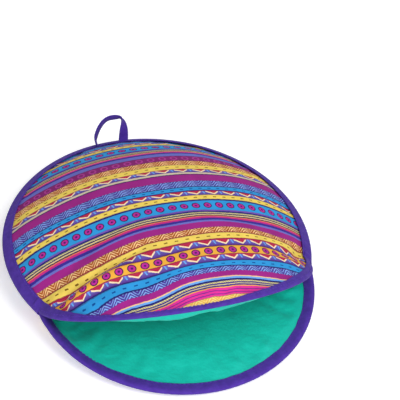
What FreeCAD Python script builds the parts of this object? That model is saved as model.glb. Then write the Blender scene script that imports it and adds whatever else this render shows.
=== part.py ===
import FreeCAD, Part
import math
import os
from FreeCAD import Placement, Rotation, Vector

# Round quilted cloth tortilla warmer with its mouth standing open. Millimetres.
# Origin: middle of the flat underside, on the table. +Z up, -Y out of the mouth,
# +Y to the hanging loop at the back, X from one mouth corner to the other.

doc = FreeCAD.newDocument("tortilla_warmer")

# ------------------------------------------------------------------ driving sizes

SIZES = (
    ("rim_radius", 142.0, "outer edge of the bound rim, from the middle, behind the mouth corners"),
    ("corner_setback", 59.0, "mouth corners in front of the side-to-side middle line"),
    ("upper_lip_reach", 136.0, "upper lip's front point in front of the middle line"),
    ("lower_lip_reach", 172.0, "lower lip's front point in front of the middle line"),
    ("corner_height", 21.0, "seam height at the mouth corners"),
    ("rear_height", 34.0, "seam height at the back"),
    ("upper_lip_height", 61.0, "underside of the upper lip at its front point"),
    ("lower_lip_height", 6.0, "top of the lower lip at its front point"),
    ("crown_height", 68.0, "underside of the upper panel in the middle"),
    ("crown_lean", 0.05, "rise of the crown per length towards the mouth"),
    ("crown_power", 2.4, "fullness of the upper panel along the middle: more is flatter on top"),
    ("rear_wall_run", 40.0, "length in plan over which the lower panel rises to its rim at the back"),
    ("side_wall_run", 34.0, "length in plan over which the lower panel rises to its rim at the sides"),
    ("lip_wall_run", 60.0, "length in plan over which the lower panel rises to its lip at the front"),
    ("cover_cloth", 0.8, "printed cover"),
    ("batting_loft", 4.5, "padding in the middle of a panel"),
    ("batting_edge", 1.6, "padding pressed flat at the rim"),
    ("lining_cloth", 0.7, "plain lining"),
    ("layer_gap", 0.1, "air between the layers of a panel"),
    ("tape_cloth", 1.1, "binding tape, folded double"),
    ("tape_face", 11.0, "width of the binding on each face"),
    ("rim_slope", 52.0, "degrees, steepness of both panels where the rear binding holds them"),
    ("seam_gap", 1.0, "air between the two linings at the rim"),
    ("corner_gap", 0.8, "air left over each panel's edge beside the mouth corners"),
    ("moving_gap", 0.4, "air between the flap's cloth and the cloth that stays"),
    ("fold_back", 6.0, "the fold's rear edge behind the hinge line"),
    ("fold_front", 12.0, "the fold's front edge in front of the hinge line"),
    ("corner_wrap", 12.0, "stretch in front of each corner where the lower lip's tape stays off the top"),
    ("fold_back_tilt", 20.0, "degrees that the fold's rear edge leans back"),
    ("fold_front_tilt", 30.0, "degrees that the fold's front edge leans out"),
    ("loop_width", 10.0, "hanging loop's tape"),
    ("loop_cloth", 1.6, "hanging loop's tape, folded double"),
    ("loop_height", 23.0, "hanging loop from its feet to its tip"),
    ("loop_spread", 27.0, "hanging loop from leg to leg"),
    ("loop_aside", 6.0, "middle of the hanging loop's feet to the left of the back"),
    ("loop_skew", 8.0, "hanging loop's tip to the right of the middle of its feet"),
    ("loop_lean", 30.0, "degrees that the hanging loop leans back from upright"),
    ("loop_foot", 5.0, "stretch of the hanging loop above the rim that bends when it tips"),
    ("loop_inset", 5.0, "hanging loop's feet in from the rim's outer edge"),
)
FORMULAS = (
    ("no_gap", "0"),
    ("upper_arc_middle", "(rim_radius^2 - upper_lip_reach^2) / (2 * (upper_lip_reach - corner_setback))"),
    ("lower_arc_middle", "(rim_radius^2 - lower_lip_reach^2) / (2 * (lower_lip_reach - corner_setback))"),
    ("upper_arc_radius", "upper_lip_reach + upper_arc_middle"),
    ("lower_arc_radius", "lower_lip_reach + lower_arc_middle"),
    ("panel_edge_inset", "tape_cloth + layer_gap"),
    ("lip_tape_run", "tape_cloth + tape_face"),
    ("rear_tape_run", "tape_cloth + tape_face * cos(rim_slope)"),
    ("panel_middle", "cover_cloth + batting_loft + lining_cloth + 2 * layer_gap"),
    ("panel_edge", "cover_cloth + batting_edge + lining_cloth + 2 * layer_gap"),
)

sheet = doc.addObject("Spreadsheet::Sheet", "Sizes")
for row, (alias, value, meaning) in enumerate(SIZES, start=1):
    sheet.set(f"A{row}", meaning)
    sheet.set(f"B{row}", str(value))
    sheet.setAlias(f"B{row}", alias)
for row, (alias, formula) in enumerate(FORMULAS, start=len(SIZES) + 1):
    sheet.set(f"B{row}", "=" + formula)
    sheet.setAlias(f"B{row}", alias)
doc.recompute()


def size(alias):
    return float(sheet.get(alias))


RIM = size("rim_radius")
SETBACK = size("corner_setback")
UPPER_REACH = size("upper_lip_reach")
LOWER_REACH = size("lower_lip_reach")
LOWER_MIDDLE = size("lower_arc_middle")
LOWER_ARC = size("lower_arc_radius")
TAPE = size("tape_cloth")
LAYER_GAP = size("layer_gap")

# ------------------------------------------------------------------ cloth surfaces
# A panel is drawn as a row of upright sections across X, from the back to the mouth,
# and each surface of its layers is the same row of sections moved square to the cloth.

END_MARGIN = 10.0       # slabs reach this far past the outline before they are trimmed
CLAMP_SHARE = 0.9       # past this share of the way to the rim the arch across keeps its shape
LEAST_HALF = 60.0       # half length of the shortest section
LEAST_LEVEL = 0.3       # least share of a lower section that counts as its middle
TABLE_CUT = 0.05        # the lower cover is drawn this much low, and its underside cut flat
PRESS_POWER = 4         # the padding thins over the last part of the way to the rim
FAR = 2 * RIM


def seam_height(y, lip_reach, lip_height):
    """Height of the rim over the plan: one plane behind the corners, one from them to the lip."""
    corner = size("corner_height")
    if y > -SETBACK:
        return corner + (size("rear_height") - corner) * (y + SETBACK) / (RIM + SETBACK)
    return corner + (lip_height - corner) * (-SETBACK - y) / (lip_reach - SETBACK)


def half_width(y, arc_middle, arc_radius):
    """Half of the panel's width at this place along the middle line."""
    radius, middle = (RIM, 0.0) if y > -SETBACK else (arc_radius, arc_middle)
    return math.sqrt(max(0.0, radius ** 2 - (y - middle) ** 2))


def pressed(y, reach, middle_thickness, edge_thickness):
    """Thickness on the middle line: full at the origin, pressed flat at the rim."""
    share = min(1.0, abs(y) / (RIM if y > 0 else reach))
    return middle_thickness + (edge_thickness - middle_thickness) * share ** PRESS_POWER


def crown_line(y):
    """Underside of the upper panel on the middle line."""
    reach, rim_seam = (RIM, size("rear_height")) if y > 0 else (-UPPER_REACH, size("upper_lip_height"))
    level = size("crown_height") - size("crown_lean") * y
    level_at_rim = size("crown_height") - size("crown_lean") * reach
    return level + (rim_seam - level_at_rim) * (y / reach) ** size("crown_power")


def upper_middle(y, middle_lift, edge_lift):
    """Upper panel on the middle line, lifted off its underside square to the cloth."""
    slope = crown_line(y + 1) - crown_line(y)
    return crown_line(y) + pressed(y, UPPER_REACH, middle_lift, edge_lift) * math.hypot(1, slope)


def upper_curve(y, middle_lift, edge_lift):
    """Arch across the upper panel at y, lifted off its underside square to the cloth."""
    near_y = min(CLAMP_SHARE * RIM, max(-CLAMP_SHARE * UPPER_REACH, y))
    near_half = half_width(near_y, size("upper_arc_middle"), size("upper_arc_radius"))
    seam = seam_height(near_y, UPPER_REACH, size("upper_lip_height")) + size("seam_gap") / 2
    sag = crown_line(near_y) - seam
    radius = (near_half ** 2 + sag ** 2) / (2 * sag)
    edge_slope = near_half / math.sqrt(radius ** 2 - near_half ** 2)
    top = upper_middle(y, middle_lift, edge_lift)
    sag += top - crown_line(y) - edge_lift * math.hypot(1, edge_slope)
    radius = (near_half ** 2 + sag ** 2) / (2 * sag)
    half = max(LEAST_HALF, half_width(y, size("upper_arc_middle"), size("upper_arc_radius"))) + END_MARGIN
    end = top - radius + math.sqrt(radius ** 2 - half ** 2)
    return [Part.Arc(Vector(-half, y, end), Vector(0, y, top), Vector(half, y, end)).toShape()]


def wall_run(y):
    """Length in plan of the lower panel's wall, blended from the side to the back and to the lip."""
    side = size("side_wall_run")
    toward_back = max(0.0, y / RIM)
    toward_lip = max(0.0, (-SETBACK - y) / (LOWER_REACH - SETBACK))
    return (side + (size("rear_wall_run") - side) * toward_back ** 2
            + (size("lip_wall_run") - side) * toward_lip)


def lower_height(x, y, middle_lift, edge_lift):
    """Lower panel at one place in plan: level, then a wall up to the rim, lifted off its underside."""
    inset = max(RIM - math.hypot(x, y), LOWER_ARC - math.hypot(x, y - LOWER_MIDDLE))
    climb = max(0.0, 1 - inset / wall_run(y))
    seam = seam_height(y, LOWER_REACH, size("lower_lip_height")) - size("seam_gap") / 2
    rim_slope = 2 * (seam - size("panel_edge")) / wall_run(y)
    rise = max(0.0, seam - size("panel_edge") * math.hypot(1, rim_slope))
    lift = middle_lift + (edge_lift - middle_lift) * min(1.0, climb) ** 2
    return rise * climb ** 2 + lift * math.hypot(1, rim_slope * climb) - TABLE_CUT


def lower_curve(y, middle_lift, edge_lift):
    """Trough across the lower panel at y: its middle, and a wall at each side."""
    far = max(LEAST_HALF, half_width(y, LOWER_MIDDLE, LOWER_ARC)) + END_MARGIN
    foot = max(LEAST_LEVEL * far, far - END_MARGIN - wall_run(y))
    step = (far - foot) / 3
    wall = [foot, foot + step, far - step, far]
    edges = []
    for places in ([-x for x in reversed(wall)], [-foot, 0.0, foot], wall):
        curve = Part.BSplineCurve()
        curve.interpolate([Vector(x, y, lower_height(x, y, middle_lift, edge_lift)) for x in places])
        edges.append(curve.toShape())
    return edges


def level_curve(height, like):
    """Straight lines at one height under or over a row of curves, edge for edge."""

    def curve(y):
        ends = [(edge.Vertexes[0].Point, edge.Vertexes[-1].Point) for edge in like(y)]
        return [Part.makeLine(Vector(a.x, y, height), Vector(b.x, y, height)) for a, b in ends]

    return curve


def stations(reach):
    """Places of the sections along the middle line, from behind the rim to in front of the lip."""
    behind = [RIM + END_MARGIN] + [RIM * share for share in (1.0, 0.91, 0.8, 0.65, 0.45, 0.22, 0.0)]
    front = [-SETBACK - (reach - SETBACK) * share for share in (0.0, 0.2, 0.45, 0.75, 1.0)]
    return behind + [-SETBACK / 2] + front + [-reach - END_MARGIN]


def closed_section(high, low):
    """Wire round two curves and the straight sides between their ends."""
    sides = [Part.makeLine(high[0].Vertexes[0].Point, low[0].Vertexes[0].Point),
             Part.makeLine(high[-1].Vertexes[-1].Point, low[-1].Vertexes[-1].Point)]
    return Part.Wire(Part.__sortEdges__(high + low + sides))


def solid_between(name, reach, high_curve, low_curve, ruled):
    """Solid between two rows of curves, still wider than the panel."""
    solid = doc.addObject("Part::Feature", name)
    wires = [closed_section(high_curve(y), low_curve(y)) for y in stations(reach)]
    solid.Shape = Part.makeLoft(wires, True, ruled)
    return solid


def upper_surface(middle_lift, edge_lift):
    return lambda y: upper_curve(y, middle_lift, edge_lift)


def lower_surface(middle_lift, edge_lift):
    return lambda y: lower_curve(y, middle_lift, edge_lift)


def below_upper(name, middle_lift, edge_lift):
    surface = upper_surface(middle_lift, edge_lift)
    return solid_between(name, UPPER_REACH, surface, level_curve(-FAR, surface), False)


def above_lower(name, middle_lift, edge_lift):
    surface = lower_surface(middle_lift, edge_lift)
    return solid_between(name, LOWER_REACH, level_curve(FAR, surface), surface, True)


# ------------------------------------------------------------------ building blocks


def bound(kind, name, **expressions):
    """Document object whose sizes are bound to the sheet. Double underscores stand for dots."""
    item = doc.addObject(kind, name)
    for path, expression in expressions.items():
        item.setExpression(path.replace("__", "."), expression)
    return item


def boolean(kind, name, base, tool):
    item = doc.addObject(kind, name)
    item.Base = base
    item.Tool = tool
    return item


def cut(name, base, tool):
    return boolean("Part::Cut", name, base, tool)


def common(name, *shapes):
    item = doc.addObject("Part::MultiCommon", name)
    item.Shapes = list(shapes)
    return item


def fuse(name, *shapes):
    item = doc.addObject("Part::MultiFuse", name)
    item.Shapes = list(shapes)
    return item


def column_half(name, front):
    """Everything in front of the mouth corners, or everything behind them."""
    return bound("Part::Box", name, Length="4 * Sizes.rim_radius", Width="4 * Sizes.rim_radius",
                 Height="4 * Sizes.rim_radius", Placement__Base__x="-2 * Sizes.rim_radius",
                 Placement__Base__y="-Sizes.corner_setback" + (" - 4 * Sizes.rim_radius" if front else ""),
                 Placement__Base__z="-2 * Sizes.rim_radius")


def plan(side, inset):
    """Upright column over the upper or lower panel's outline, its edge moved in by the named inset."""
    name = f"{side}_plan_{inset}"
    column = "4 * Sizes.rim_radius"
    drop = "-2 * Sizes.rim_radius"
    rear = bound("Part::Cylinder", name + "_rear", Radius=f"Sizes.rim_radius - Sizes.{inset}",
                 Height=column, Placement__Base__z=drop)
    front = bound("Part::Cylinder", name + "_front", Radius=f"Sizes.{side}_arc_radius - Sizes.{inset}",
                  Height=column, Placement__Base__y=f"Sizes.{side}_arc_middle", Placement__Base__z=drop)
    if side == "upper":
        return common(name, rear, fuse(name + "_either", front, behind_corners))
    return fuse(name, common(name + "_behind", rear, behind_corners),
                common(name + "_before", front, before_corners))


def behind_fold(name, clearance):
    """Everything behind the fold's rear edge, a plane that leans back, moved forward by the clearance."""
    lean = "Sizes.fold_back_tilt"
    box = bound("Part::Box", name, Length="4 * Sizes.rim_radius", Width="3 * Sizes.rim_radius",
                Height="4 * Sizes.rim_radius", Placement__Base__x="-2 * Sizes.rim_radius",
                Placement__Base__y="Sizes.fold_back - Sizes.corner_setback"
                                   f" - 2 * Sizes.rim_radius * sin({lean}) - Sizes.{clearance}",
                Placement__Base__z=f"Sizes.corner_height - 2 * Sizes.rim_radius * cos({lean})")
    box.Placement.Rotation = Rotation(Vector(1, 0, 0), -size("fold_back_tilt"))
    return box


def before_fold(name, clearance):
    """Everything in front of the fold's front edge, a plane that leans out, moved back by the clearance."""
    lean = "Sizes.fold_front_tilt"
    box = bound("Part::Box", name, Length="4 * Sizes.rim_radius", Width="3 * Sizes.rim_radius",
                Height="4 * Sizes.rim_radius", Placement__Base__x="-2 * Sizes.rim_radius",
                Placement__Base__y="-Sizes.corner_setback - Sizes.fold_front"
                                   f" - 3 * Sizes.rim_radius * cos({lean}) + 2 * Sizes.rim_radius * sin({lean})"
                                   f" + Sizes.{clearance}",
                Placement__Base__z=f"Sizes.corner_height - 3 * Sizes.rim_radius * sin({lean})"
                                   f" - 2 * Sizes.rim_radius * cos({lean})")
    box.Placement.Rotation = Rotation(Vector(1, 0, 0), size("fold_front_tilt"))
    return box


PARTS = []


def part(item, label):
    item.Label = label
    PARTS.append(item)
    return item


behind_corners = column_half("behind_corners", False)
before_corners = column_half("before_corners", True)
rear_zone = behind_fold("rear_zone", "no_gap")
front_zone = before_fold("front_zone", "no_gap")
outside_fold = fuse("outside_fold", behind_fold("rear_clear", "moving_gap"),
                    before_fold("front_clear", "layer_gap"))

under_the_table = bound("Part::Box", "under_the_table", Length="4 * Sizes.rim_radius",
                        Width="4 * Sizes.rim_radius", Height="Sizes.rim_radius",
                        Placement__Base__x="-2 * Sizes.rim_radius",
                        Placement__Base__y="-2 * Sizes.rim_radius",
                        Placement__Base__z="-Sizes.rim_radius")

# ------------------------------------------------------------------ panels, layer by layer

LAYERS = (
    ("lining", "lining_cloth", "lining_cloth"),
    ("batting", "batting_loft", "batting_edge"),
    ("cover", "cover_cloth", "cover_cloth"),
)


def upper_layers():
    """Lining, batting and cover of the upper panel, each in a rear, a folding and a front piece."""
    outline = plan("upper", "panel_edge_inset")
    middle = edge = 0.0
    for layer, middle_size, edge_size in LAYERS:
        low = upper_surface(middle, edge)
        high = upper_surface(middle + size(middle_size), edge + size(edge_size))
        sheet_solid = solid_between("upper_" + layer + "_slab", UPPER_REACH, high, low, False)
        whole = common("upper_" + layer + "_whole", sheet_solid, outline)
        part(common(layer + "_behind", whole, rear_zone), f"upper_{layer}_rear")
        part(cut(layer + "_between", whole, outside_fold), f"upper_{layer}_fold")
        part(common(layer + "_before", whole, front_zone), f"upper_{layer}_front")
        middle += size(middle_size) + LAYER_GAP
        edge += size(edge_size) + LAYER_GAP


def lower_layers():
    """Cover, batting and lining of the lower panel. The cover's underside is one flat face on the table."""
    outline = plan("lower", "panel_edge_inset")
    middle = edge = 0.0
    for layer, middle_size, edge_size in reversed(LAYERS):
        low = lower_surface(middle, edge)
        high = lower_surface(middle + size(middle_size), edge + size(edge_size))
        sheet_solid = solid_between("lower_" + layer + "_slab", LOWER_REACH, high, low, True)
        whole = common("lower_" + layer + "_whole", sheet_solid, outline)
        part(cut("lower_" + layer + "_piece", whole, under_the_table), "lower_" + layer)
        middle += size(middle_size) + LAYER_GAP
        edge += size(edge_size) + LAYER_GAP


# ------------------------------------------------------------------ bindings

OUT_MIDDLE = size("panel_middle") + LAYER_GAP
OUT_EDGE = size("panel_edge") + LAYER_GAP


def rear_binding():
    """Tape round the closed back of the pouch, over the edges of both panels."""
    tape = common("rear_tape", below_upper("below_rear_tape", OUT_MIDDLE + TAPE, OUT_EDGE + TAPE),
                  above_lower("above_rear_tape", -LAYER_GAP - TAPE, -LAYER_GAP - TAPE),
                  rear_ring, rear_zone)
    core = common("rear_core", below_upper("below_rear_core", OUT_MIDDLE, OUT_EDGE),
                  above_lower("above_rear_core", -LAYER_GAP, -LAYER_GAP), lower_inner)
    part(cut("rear_binding_piece", tape, core), "rear_binding")


def upper_lip_bindings():
    """Tape over the upper lip, and the one-sided stretch of it beside each mouth corner."""
    over = below_upper("below_lip_tape", OUT_MIDDLE + TAPE, OUT_EDGE + TAPE)
    under = below_upper("below_lip_inner_tape", -LAYER_GAP - TAPE, -LAYER_GAP - TAPE)
    panel_under = below_upper("below_lip_lining", -LAYER_GAP, -LAYER_GAP)
    core = cut("lip_core", common("lip_core_top", below_upper("below_lip_core", OUT_MIDDLE, OUT_EDGE),
                                  upper_inner), panel_under)
    lip = cut("lip_tape", common("lip_band", over, upper_ring, front_zone), under)
    part(cut("lip_piece", lip, core), "upper_lip_binding")
    corner_under = below_upper("below_corner_tape", size("corner_gap"), size("corner_gap"))
    band = cut("corner_band", common("corner_top", over, upper_ring), corner_under)
    corner = cut("corner_tape", band, outside_fold)
    corners = cut("corner_pieces", corner, core)
    for side, place in (("left", "-4 * Sizes.rim_radius"), ("right", "0")):
        half = bound("Part::Box", side + "_half", Length="4 * Sizes.rim_radius",
                     Width="4 * Sizes.rim_radius", Height="4 * Sizes.rim_radius",
                     Placement__Base__x=place, Placement__Base__y="-2 * Sizes.rim_radius",
                     Placement__Base__z="-2 * Sizes.rim_radius")
        part(common(side + "_corner_piece", corners, half), f"corner_binding_{side}")


def lower_lip_binding():
    """Tape over the lower lip. Beside the corners it leaves the top of the lip to the upper tape."""
    out = above_lower("above_lower_tape", -LAYER_GAP - TAPE, -LAYER_GAP - TAPE)
    top = above_lower("above_lower_top_tape", OUT_MIDDLE + TAPE, OUT_EDGE + TAPE)
    panel_top = above_lower("above_lower_panel", OUT_MIDDLE, OUT_EDGE)
    core = cut("lower_core", common("lower_core_out", above_lower("above_lower_core", -LAYER_GAP, -LAYER_GAP),
                                    lower_inner), panel_top)
    band = cut("lower_band", cut("lower_band_whole", common("lower_band_out", out, lower_ring), top),
               behind_fold("behind_lower_lip", "layer_gap"))
    relief = bound("Part::Box", "corner_relief", Length="4 * Sizes.rim_radius", Width="2 * Sizes.rim_radius",
                   Height="4 * Sizes.rim_radius", Placement__Base__x="-2 * Sizes.rim_radius",
                   Placement__Base__y="-Sizes.corner_setback - Sizes.corner_wrap",
                   Placement__Base__z="-2 * Sizes.rim_radius")
    corner_top = above_lower("above_bare_corner", OUT_MIDDLE - size("corner_gap"), OUT_EDGE - size("corner_gap"))
    bare = common("bare_corners", relief, corner_top)
    tape = cut("lower_lip_tape", cut("lower_lip_bare", band, bare), core)
    part(cut("lower_lip_piece", tape, under_the_table), "lower_lip_binding")


# ------------------------------------------------------------------ hanging loop

LOOP_STATIONS = 9
LOOP_FULLNESS = 0.7     # under 1 the arch is fuller at its shoulders than a half ellipse
LOOP_SLANT = 0.8        # share of its way across that the tape turns over by at the top


def loop_seat_height():
    """Height at which both edges of a foot clear the rear binding."""
    lean = math.radians(size("loop_lean"))
    half = size("loop_width") / 2
    heights = []
    for side in (-half, half):
        y = RIM - size("loop_inset") + side * math.cos(lean)
        rim_top = upper_middle(y, OUT_MIDDLE + TAPE, OUT_EDGE + TAPE)
        heights.append(rim_top + size("moving_gap") + side * math.sin(lean))
    return max(heights)


def hanging_loop():
    """Twisted tape arch: edge-on at its left foot, turning a quarter round to lie flat at its right."""
    width = size("loop_width") / 2
    cloth = size("loop_cloth") / 2
    sections = []
    for step in range(LOOP_STATIONS):
        share = step / (LOOP_STATIONS - 1)
        turn = math.pi * share
        middle = Vector(size("loop_skew") * math.sin(turn) - size("loop_spread") / 2 * math.cos(turn), 0,
                        size("loop_height") * math.sin(turn) ** LOOP_FULLNESS)
        along = Vector(math.sin(turn) * LOOP_SLANT, 0, math.cos(turn)).normalize()
        across = Rotation(along, 90 * share).multVec(Vector(0, 1, 0))
        normal = along.cross(across)
        corners = [middle + across * width * a + normal * cloth * b
                   for a, b in ((1, 1), (1, -1), (-1, -1), (-1, 1))]
        sections.append(Part.makePolygon(corners + corners[:1]))
    tape = doc.addObject("Part::Feature", "hanging_loop_tape")
    tape.Shape = Part.makeLoft(sections, True, False)
    seat = Placement(Vector(-size("loop_aside"), RIM - size("loop_inset"), loop_seat_height()),
                     Rotation(Vector(1, 0, 0), -size("loop_lean")))
    tape.Placement = seat
    zones = []
    for name, extra in (("loop_foot_zone", "no_gap"), ("loop_foot_clear", "layer_gap")):
        zone = bound("Part::Box", name, Length="4 * Sizes.loop_spread", Width="4 * Sizes.loop_width",
                     Height=f"Sizes.rim_radius + Sizes.loop_foot + Sizes.{extra}")
        zone.Placement = seat * Placement(Vector(-2 * size("loop_spread"), -2 * size("loop_width"), -RIM),
                                          Rotation())
        zones.append(zone)
    part(common("hanging_loop_legs", tape, zones[0]), "hanging_loop_feet")
    part(cut("hanging_loop_arch", tape, zones[1]), "hanging_loop")


# ------------------------------------------------------------------ the warmer

upper_layers()
lower_layers()
lower_outer = plan("lower", "no_gap")
lower_ring = cut("lower_ring", lower_outer, plan("lower", "lip_tape_run"))
rear_ring = cut("rear_ring", lower_outer, plan("lower", "rear_tape_run"))
lower_inner = plan("lower", "tape_cloth")
upper_ring = cut("upper_ring", plan("upper", "no_gap"), plan("upper", "lip_tape_run"))
upper_inner = plan("upper", "tape_cloth")
rear_binding()
upper_lip_bindings()
lower_lip_binding()
hanging_loop()
doc.recompute()

for item in doc.Objects:
    if "Invalid" in item.State or "Error" in item.State:
        raise RuntimeError(f"{item.Label} failed: {item.State}")
for item in PARTS:
    if item.Shape.isNull() or not item.Shape.isValid() or not item.Shape.Solids:
        raise RuntimeError(f"{item.Label} is not a valid solid")

os.makedirs("parts", exist_ok=True)
for item in PARTS:
    item.Shape.exportStep(f"parts/{item.Label}.step")
    print(f"{item.Label}: {len(item.Shape.Solids)} solid, {item.Shape.Volume:.1f} mm3")
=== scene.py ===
import math

import bmesh
import bpy
from mathutils import Matrix, Vector, noise
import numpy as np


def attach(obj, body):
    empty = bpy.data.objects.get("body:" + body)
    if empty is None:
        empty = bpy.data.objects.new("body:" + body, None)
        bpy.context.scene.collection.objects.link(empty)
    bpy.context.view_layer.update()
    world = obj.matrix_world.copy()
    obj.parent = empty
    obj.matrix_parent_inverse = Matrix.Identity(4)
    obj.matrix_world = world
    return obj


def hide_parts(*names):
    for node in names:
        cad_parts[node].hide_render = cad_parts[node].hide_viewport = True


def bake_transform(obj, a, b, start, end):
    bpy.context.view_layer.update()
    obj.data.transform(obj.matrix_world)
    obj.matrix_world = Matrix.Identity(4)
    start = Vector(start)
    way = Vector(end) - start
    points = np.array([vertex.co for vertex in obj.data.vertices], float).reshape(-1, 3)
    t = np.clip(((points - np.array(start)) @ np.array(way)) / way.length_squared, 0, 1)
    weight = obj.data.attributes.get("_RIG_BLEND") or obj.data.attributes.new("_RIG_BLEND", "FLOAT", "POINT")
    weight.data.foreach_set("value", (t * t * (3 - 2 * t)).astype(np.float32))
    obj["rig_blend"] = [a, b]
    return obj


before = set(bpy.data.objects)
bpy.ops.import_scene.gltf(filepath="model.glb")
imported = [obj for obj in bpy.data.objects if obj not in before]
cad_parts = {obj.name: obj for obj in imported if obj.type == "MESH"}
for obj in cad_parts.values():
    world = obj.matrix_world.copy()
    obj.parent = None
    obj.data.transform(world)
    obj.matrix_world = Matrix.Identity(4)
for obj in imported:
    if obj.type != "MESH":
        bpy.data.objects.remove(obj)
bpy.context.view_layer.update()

# Round quilted tortilla warmer: two padded, lined panels bound together round the back,
# with the front of the upper one standing open. Drawn in millimetres, finished in metres.
# Turns are counted in radians from +X towards the hanging loop at the back.

MM = 0.001
RIM = 141.8                 # outer edge of the bound rim, from the middle
CORNER = 0.417              # sine of the turn from the side to a mouth corner
CORNER_TURN = math.asin(CORNER)
CORNER_HEIGHT = 20.1        # height of the rim at the mouth corners
BACK_RISE = 13.2            # how much higher the rim is at the back
LIP_RISE, LIP_REACH = 46.2, 76.85      # how far the upper lip stands above and before the corners
LIP_SWELL = 0.132           # how much wider than the round rim it is on its way there
LOWER_DROP, LOWER_REACH = 18.3, 31.1   # how far the lower lip lies below them and past the rim
PEAK = Vector((0.0, 2.1, 73.8))   # middle of the upper panel's printed face
LEAN = 0.048                # the crown rises this much per length towards the mouth
FULLNESS = 2.38             # more is flatter on top and steeper at the rim
TAPE = 1.2                  # binding tape, folded double
TAPE_FACE = 11.0            # width of the binding on each face
PRESSED = 3.3               # a panel's thickness where the binding presses it
PANEL_HALF = 150            # length of cloth from a panel's middle to its edge, near enough
LOWER_HALF = 160            # the same towards the lower lip


# ------------------------------------------------------------------ shapes of the cloth


def held(share):
    """A share held between 0 and 1."""
    return max(0.0, min(1.0, share))


def toward_lip(turn):
    """0 at the mouth corners and behind them, 1 at the middle of the lips."""
    return max(0.0, (-math.sin(turn) - CORNER) / (1 - CORNER))


def upper_edge(turn):
    """Edge of the upper panel: round at the back, reaching out and up to the lip in front."""
    share = toward_lip(turn)
    side, front = RIM * math.cos(turn), RIM * math.sin(turn)
    if not share:
        rise = BACK_RISE * (math.sin(turn) + CORNER) / (1 + CORNER)
        return Vector((side, front, CORNER_HEIGHT + rise))
    return Vector((side * (1 + LIP_SWELL * share * (1 - share)),
                   -RIM * CORNER - LIP_REACH * share ** 0.85,
                   CORNER_HEIGHT + LIP_RISE * share ** 0.98))


def lower_edge(turn):
    """Edge of the lower panel: joined to the upper one, but down on the table at the lip."""
    share = toward_lip(turn)
    if not share:
        return upper_edge(turn)
    reach = RIM + LOWER_REACH * share
    return Vector((reach * math.cos(turn), reach * math.sin(turn),
                   CORNER_HEIGHT - LOWER_DROP * share))


def crown(reach, turn):
    """Printed face of the upper panel, at a share of the way from its middle to its edge."""
    edge = upper_edge(turn)
    spot = PEAK.lerp(edge, reach)
    drop = edge.z - PEAK.z + LEAN * (edge.y - PEAK.y)
    spot.z = PEAK.z - LEAN * (spot.y - PEAK.y) + drop * reach ** FULLNESS
    return spot


def bowl(reach, turn):
    """Printed face of the lower panel: level on the table, then a wall up to its edge."""
    edge = lower_edge(turn)
    run = 34 + 6 * max(0.0, math.sin(turn)) ** 2 + 26 * toward_lip(turn)
    climb = max(0.0, 1 - (1 - reach) * math.hypot(edge.x, edge.y) / run)
    return Vector((edge.x * reach, edge.y * reach, edge.z * climb ** 2 + 0.1))


def cloth_length(face, reach, turn):
    """Length along the cloth from the middle of a panel out to one place."""
    steps = 16
    spots = [face(reach * i / steps, turn) for i in range(steps + 1)]
    return sum((b - a).length for a, b in zip(spots, spots[1:]))


def near_edge(face, distance, turn, lift):
    """Place a distance in from a panel's edge, lifted off its printed face, and its way up."""
    length = (face(1.0, turn) - face(0.95, turn)).length / 0.05
    reach = 1 - distance / length
    out_way = face(reach + 0.01, turn) - face(reach - 0.01, turn)
    round_way = face(reach, turn + 0.01) - face(reach, turn - 0.01)
    up = out_way.cross(round_way).normalized()
    return face(reach, turn) + up * lift, up


def ripple(x, y, size, seed):
    """Smooth unevenness from -1 to 1 with bumps about that size."""
    return 2 * noise.noise(Vector((x / size, y / size, seed * 7.3)))


def valley(x, y, path, width):
    """1 on a fold line given by its points on the cloth, falling to 0 away from it."""
    best = 0.0
    for (ax, ay, a_deep), (bx, by, b_deep) in zip(path, path[1:]):
        dx, dy = bx - ax, by - ay
        share = held(((x - ax) * dx + (y - ay) * dy) / (dx * dx + dy * dy))
        away = math.hypot(x - ax - share * dx, y - ay - share * dy) / width
        best = max(best, (a_deep + share * (b_deep - a_deep)) * math.exp(-away * away))
    return best


# ------------------------------------------------------------------ making pieces


def shaped_net(across, along, place):
    """A net whose every knot is placed from its two shares, 0 to 1."""
    net = bmesh.new()
    bmesh.ops.create_grid(net, x_segments=across, y_segments=along, size=1)
    marks = [net.verts.layers.float.new(name) for name in ("first", "second")]
    for knot in net.verts:
        shares = (knot.co.x + 1) / 2, (knot.co.y + 1) / 2
        for mark, share in zip(marks, shares):
            knot[mark] = share
        knot.co = place(*shares)
    return net


def lay_map(net, rule):
    """UV map in millimetres of cloth, from each knot's two marks."""
    first, second = net.verts.layers.float["first"], net.verts.layers.float["second"]
    cloth = net.loops.layers.uv.new("cloth")
    for patch in net.faces:
        for corner in patch.loops:
            corner[cloth].uv = rule(corner.vert[first], corner.vert[second])


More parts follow.
